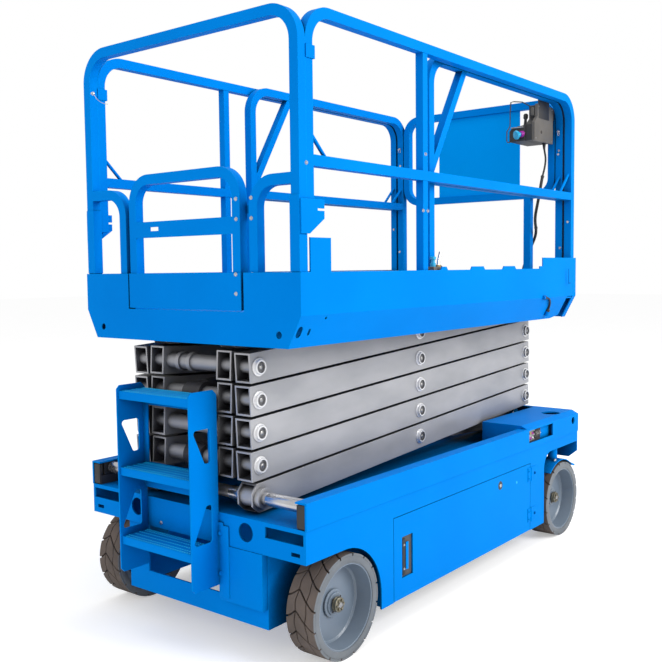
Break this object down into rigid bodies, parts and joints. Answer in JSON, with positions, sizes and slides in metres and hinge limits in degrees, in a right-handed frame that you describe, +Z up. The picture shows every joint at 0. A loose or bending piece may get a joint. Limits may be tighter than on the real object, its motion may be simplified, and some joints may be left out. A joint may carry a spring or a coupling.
{
  "type": "electric slab scissor lift",
  "caption": "Self-propelled scissor lift: slab chassis on solid wheels, crossed-arm stack, railed platform with roll-out deck, gate and rear ladder.",
  "frame": {"origin": "on the ground under the middle of the machine's length and width", "axes": "+X towards the steered wheels and the roll-out deck, +Y to the left, +Z up"},
  "size_m": [2.414, 1.1775, 2.282],
  "materials": {
    "blue_paint": "satin",
    "arm_steel": "satin galvanised",
    "wheel_grey": "satin",
    "tyre_rubber": "matte non-marking",
    "dark_case": "matte",
    "bare_steel": "ground",
    "dark_metal": "matte"
  },
  "bodies": {
    "chassis": {"chassis_frame": "blue_paint", "side_frame_right": "blue_paint", "side_frame_left": "blue_paint", "front_covers": "blue_paint", "track_webs": "blue_paint", "track_caps": "blue_paint", "wear_strips": "blue_paint", "ladder": "blue_paint", "rear_axles": "dark_metal"},
    "steer_right": {"knuckle_right": "dark_metal"},
    "steer_left": {"knuckle_left": "dark_metal"},
    "tie_rod": {"tie_rod": "dark_metal"},
    "door_right": {"door_right": "blue_paint", "tray_right": "blue_paint", "battery_pack": "dark_metal"},
    "door_left": {"door_left": "blue_paint", "tray_left": "blue_paint", "hydraulic_unit": "dark_metal"},
    "wheel_rear_right": {"tyre_rear_right": "tyre_rubber", "rim_rear_right": "wheel_grey"},
    "wheel_rear_left": {"tyre_rear_left": "tyre_rubber", "rim_rear_left": "wheel_grey"},
    "wheel_front_right": {"tyre_front_right": "tyre_rubber", "rim_front_right": "wheel_grey"},
    "wheel_front_left": {"tyre_front_left": "tyre_rubber", "rim_front_left": "wheel_grey"},
    "inner_arm_1": {"inner_arm_1": "arm_steel"},
    "outer_arm_1": {"outer_arm_1": "arm_steel"},
    "inner_arm_2": {"inner_arm_2": "arm_steel"},
    "outer_arm_2": {"outer_arm_2": "arm_steel"},
    "inner_arm_3": {"inner_arm_3": "arm_steel"},
    "outer_arm_3": {"outer_arm_3": "arm_steel"},
    "inner_arm_4": {"inner_arm_4": "arm_steel"},
    "outer_arm_4": {"outer_arm_4": "arm_steel"},
    "inner_arm_5": {"inner_arm_5": "arm_steel"},
    "outer_arm_5": {"outer_arm_5": "arm_steel"},
    "slide_blocks_lower": {"slide_blocks_lower": "blue_paint"},
    "slide_blocks_upper": {"slide_blocks_upper": "blue_paint"},
    "platform": {"platform_frame": "blue_paint", "rail_right": "blue_paint", "rail_left": "blue_paint", "rail_rear": "blue_paint", "skirt_hose": "tyre_rubber"},
    "barrel_lower": {"barrel_lower": "dark_metal"},
    "rod_lower": {"rod_lower": "bare_steel"},
    "barrel_upper": {"barrel_upper": "dark_metal"},
    "rod_upper": {"rod_upper": "bare_steel"},
    "gate": {"gate": "blue_paint"},
    "extension": {"extension_deck": "blue_paint", "extension_rail_right": "blue_paint", "extension_rail_left": "blue_paint", "front_rail": "blue_paint", "front_panel": "blue_paint", "control_box": "dark_case", "control_cord": "tyre_rubber"}
  },
  "joints": [
    {"name": "roll_rear_right", "type": "hinge", "parent": "chassis", "child": "wheel_rear_right", "pos_m": [-0.855, -0.5245, 0.19], "axis": [0, 1, 0], "continuous": true},
    {"name": "roll_rear_left", "type": "hinge", "parent": "chassis", "child": "wheel_rear_left", "pos_m": [-0.855, 0.5245, 0.19], "axis": [0, 1, 0], "continuous": true},
    {"name": "roll_front_right", "type": "hinge", "parent": "steer_right", "child": "wheel_front_right", "pos_m": [0.995, -0.5245, 0.19], "axis": [0, 1, 0], "continuous": true},
    {"name": "roll_front_left", "type": "hinge", "parent": "steer_left", "child": "wheel_front_left", "pos_m": [0.995, 0.5245, 0.19], "axis": [0, 1, 0], "continuous": true},
    {"name": "steering_right", "type": "hinge", "parent": "chassis", "child": "steer_right", "pos_m": [0.995, -0.42, 0.19], "axis": [0, 0, 1], "range_deg": [-60, 60]},
    {"name": "steering_left", "type": "hinge", "parent": "chassis", "child": "steer_left", "pos_m": [0.995, 0.42, 0.19], "axis": [0, 0, 1], "range_deg": [-60, 60]},
    {"name": "tie_rod_end", "type": "hinge", "parent": "steer_right", "child": "tie_rod", "pos_m": [0.875, -0.42, 0.258], "axis": [0, 0, 1], "range_deg": [-60, 60]},
    {"name": "door_swing_right", "type": "hinge", "parent": "chassis", "child": "door_right", "pos_m": [0.642, -0.579, 0.27], "axis": [0, 0, 1], "range_deg": [0, 95]},
    {"name": "door_swing_left", "type": "hinge", "parent": "chassis", "child": "door_left", "pos_m": [0.642, 0.579, 0.27], "axis": [0, 0, -1], "range_deg": [0, 95]},
    {"name": "lift", "type": "hinge", "parent": "chassis", "child": "inner_arm_1", "pos_m": [1.115, 0, 0.578], "axis": [0, 1, 0], "range_deg": [0, 55.8]},
    {"name": "outer_arm_1_pin", "type": "hinge", "parent": "inner_arm_1", "child": "outer_arm_1", "pos_m": [0.0555, 0, 0.63715], "axis": [0, 1, 0], "range_deg": [-111.6, 0]},
    {"name": "inner_arm_2_pin", "type": "hinge", "parent": "outer_arm_1", "child": "inner_arm_2", "pos_m": [1.115, 0, 0.6963], "axis": [0, 1, 0], "range_deg": [0, 111.6]},
    {"name": "outer_arm_2_pin", "type": "hinge", "parent": "inner_arm_2", "child": "outer_arm_2", "pos_m": [0.0555, 0, 0.75545], "axis": [0, 1, 0], "range_deg": [-111.6, 0]},
    {"name": "inner_arm_3_pin", "type": "hinge", "parent": "outer_arm_2", "child": "inner_arm_3", "pos_m": [1.115, 0, 0.8146], "axis": [0, 1, 0], "range_deg": [0, 111.6]},
    {"name": "outer_arm_3_pin", "type": "hinge", "parent": "inner_arm_3", "child": "outer_arm_3", "pos_m": [0.0555, 0, 0.87375], "axis": [0, 1, 0], "range_deg": [-111.6, 0]},
    {"name": "inner_arm_4_pin", "type": "hinge", "parent": "outer_arm_3", "child": "inner_arm_4", "pos_m": [1.115, 0, 0.9329], "axis": [0, 1, 0], "range_deg": [0, 111.6]},
    {"name": "outer_arm_4_pin", "type": "hinge", "parent": "inner_arm_4", "child": "outer_arm_4", "pos_m": [0.0555, 0, 0.99205], "axis": [0, 1, 0], "range_deg": [-111.6, 0]},
    {"name": "inner_arm_5_pin", "type": "hinge", "parent": "outer_arm_4", "child": "inner_arm_5", "pos_m": [1.115, 0, 1.0512], "axis": [0, 1, 0], "range_deg": [0, 111.6]},
    {"name": "outer_arm_5_pin", "type": "hinge", "parent": "inner_arm_5", "child": "outer_arm_5", "pos_m": [0.0555, 0, 1.11035], "axis": [0, 1, 0], "range_deg": [-111.6, 0]},
    {"name": "slide_block_lower_pin", "type": "hinge", "parent": "outer_arm_1", "child": "slide_blocks_lower", "pos_m": [-1.004, 0, 0.578], "axis": [0, 1, 0], "range_deg": [0, 55.8]},
    {"name": "slide_block_upper_pin", "type": "hinge", "parent": "inner_arm_5", "child": "slide_blocks_upper", "pos_m": [-1.004, 0, 1.1695], "axis": [0, 1, 0], "range_deg": [-55.8, 0]},
    {"name": "platform_pin", "type": "hinge", "parent": "outer_arm_5", "child": "platform", "pos_m": [1.115, 0, 1.1695], "axis": [0, 1, 0], "range_deg": [0, 55.8]},
    {"name": "barrel_lower_pin", "type": "hinge", "parent": "inner_arm_1", "child": "barrel_lower", "pos_m": [-1.004, 0, 0.6963], "axis": [0, 1, 0], "range_deg": [-122.1, 0]},
    {"name": "rod_lower_stroke", "type": "slide", "parent": "barrel_lower", "child": "rod_lower", "axis": [0.9951, 0, 0.0993], "range_m": [0, 0.938]},
    {"name": "barrel_upper_pin", "type": "hinge", "parent": "inner_arm_3", "child": "barrel_upper", "pos_m": [-1.004, 0, 0.9329], "axis": [0, 1, 0], "range_deg": [-122.1, 0]},
    {"name": "rod_upper_stroke", "type": "slide", "parent": "barrel_upper", "child": "rod_upper", "axis": [0.9951, 0, 0.0993], "range_m": [0, 0.938]},
    {"name": "gate_swing", "type": "hinge", "parent": "platform", "child": "gate", "pos_m": [-1.02, -0.312, 1.5], "axis": [0, 0, -1], "range_deg": [0, 90]},
    {"name": "extension_slide", "type": "slide", "parent": "platform", "child": "extension", "axis": [1, 0, 0], "range_m": [0, 0.9]}
  ],
  "couplings": [
    {"joint": "steering_left", "follows": "steering_right", "ratio": 1},
    {"joint": "tie_rod_end", "follows": "steering_right", "ratio": -1},
    {"joint": "outer_arm_1_pin", "follows": "lift", "ratio": -2},
    {"joint": "inner_arm_2_pin", "follows": "lift", "ratio": 2},
    {"joint": "outer_arm_2_pin", "follows": "lift", "ratio": -2},
    {"joint": "inner_arm_3_pin", "follows": "lift", "ratio": 2},
    {"joint": "outer_arm_3_pin", "follows": "lift", "ratio": -2},
    {"joint": "inner_arm_4_pin", "follows": "lift", "ratio": 2},
    {"joint": "outer_arm_4_pin", "follows": "lift", "ratio": -2},
    {"joint": "inner_arm_5_pin", "follows": "lift", "ratio": 2},
    {"joint": "outer_arm_5_pin", "follows": "lift", "ratio": -2},
    {"joint": "slide_block_lower_pin", "follows": "lift", "ratio": 1},
    {"joint": "slide_block_upper_pin", "follows": "lift", "ratio": -1},
    {"joint": "platform_pin", "follows": "lift", "ratio": 1},
    {"joint": "barrel_lower_pin", "follows": "lift", "ratio": -2.1778},
    {"joint": "rod_lower_stroke", "follows": "lift", "m_per_rad": 0.95914},
    {"joint": "barrel_upper_pin", "follows": "lift", "ratio": -2.1778},
    {"joint": "rod_upper_stroke", "follows": "lift", "m_per_rad": 0.95914}
  ]
}
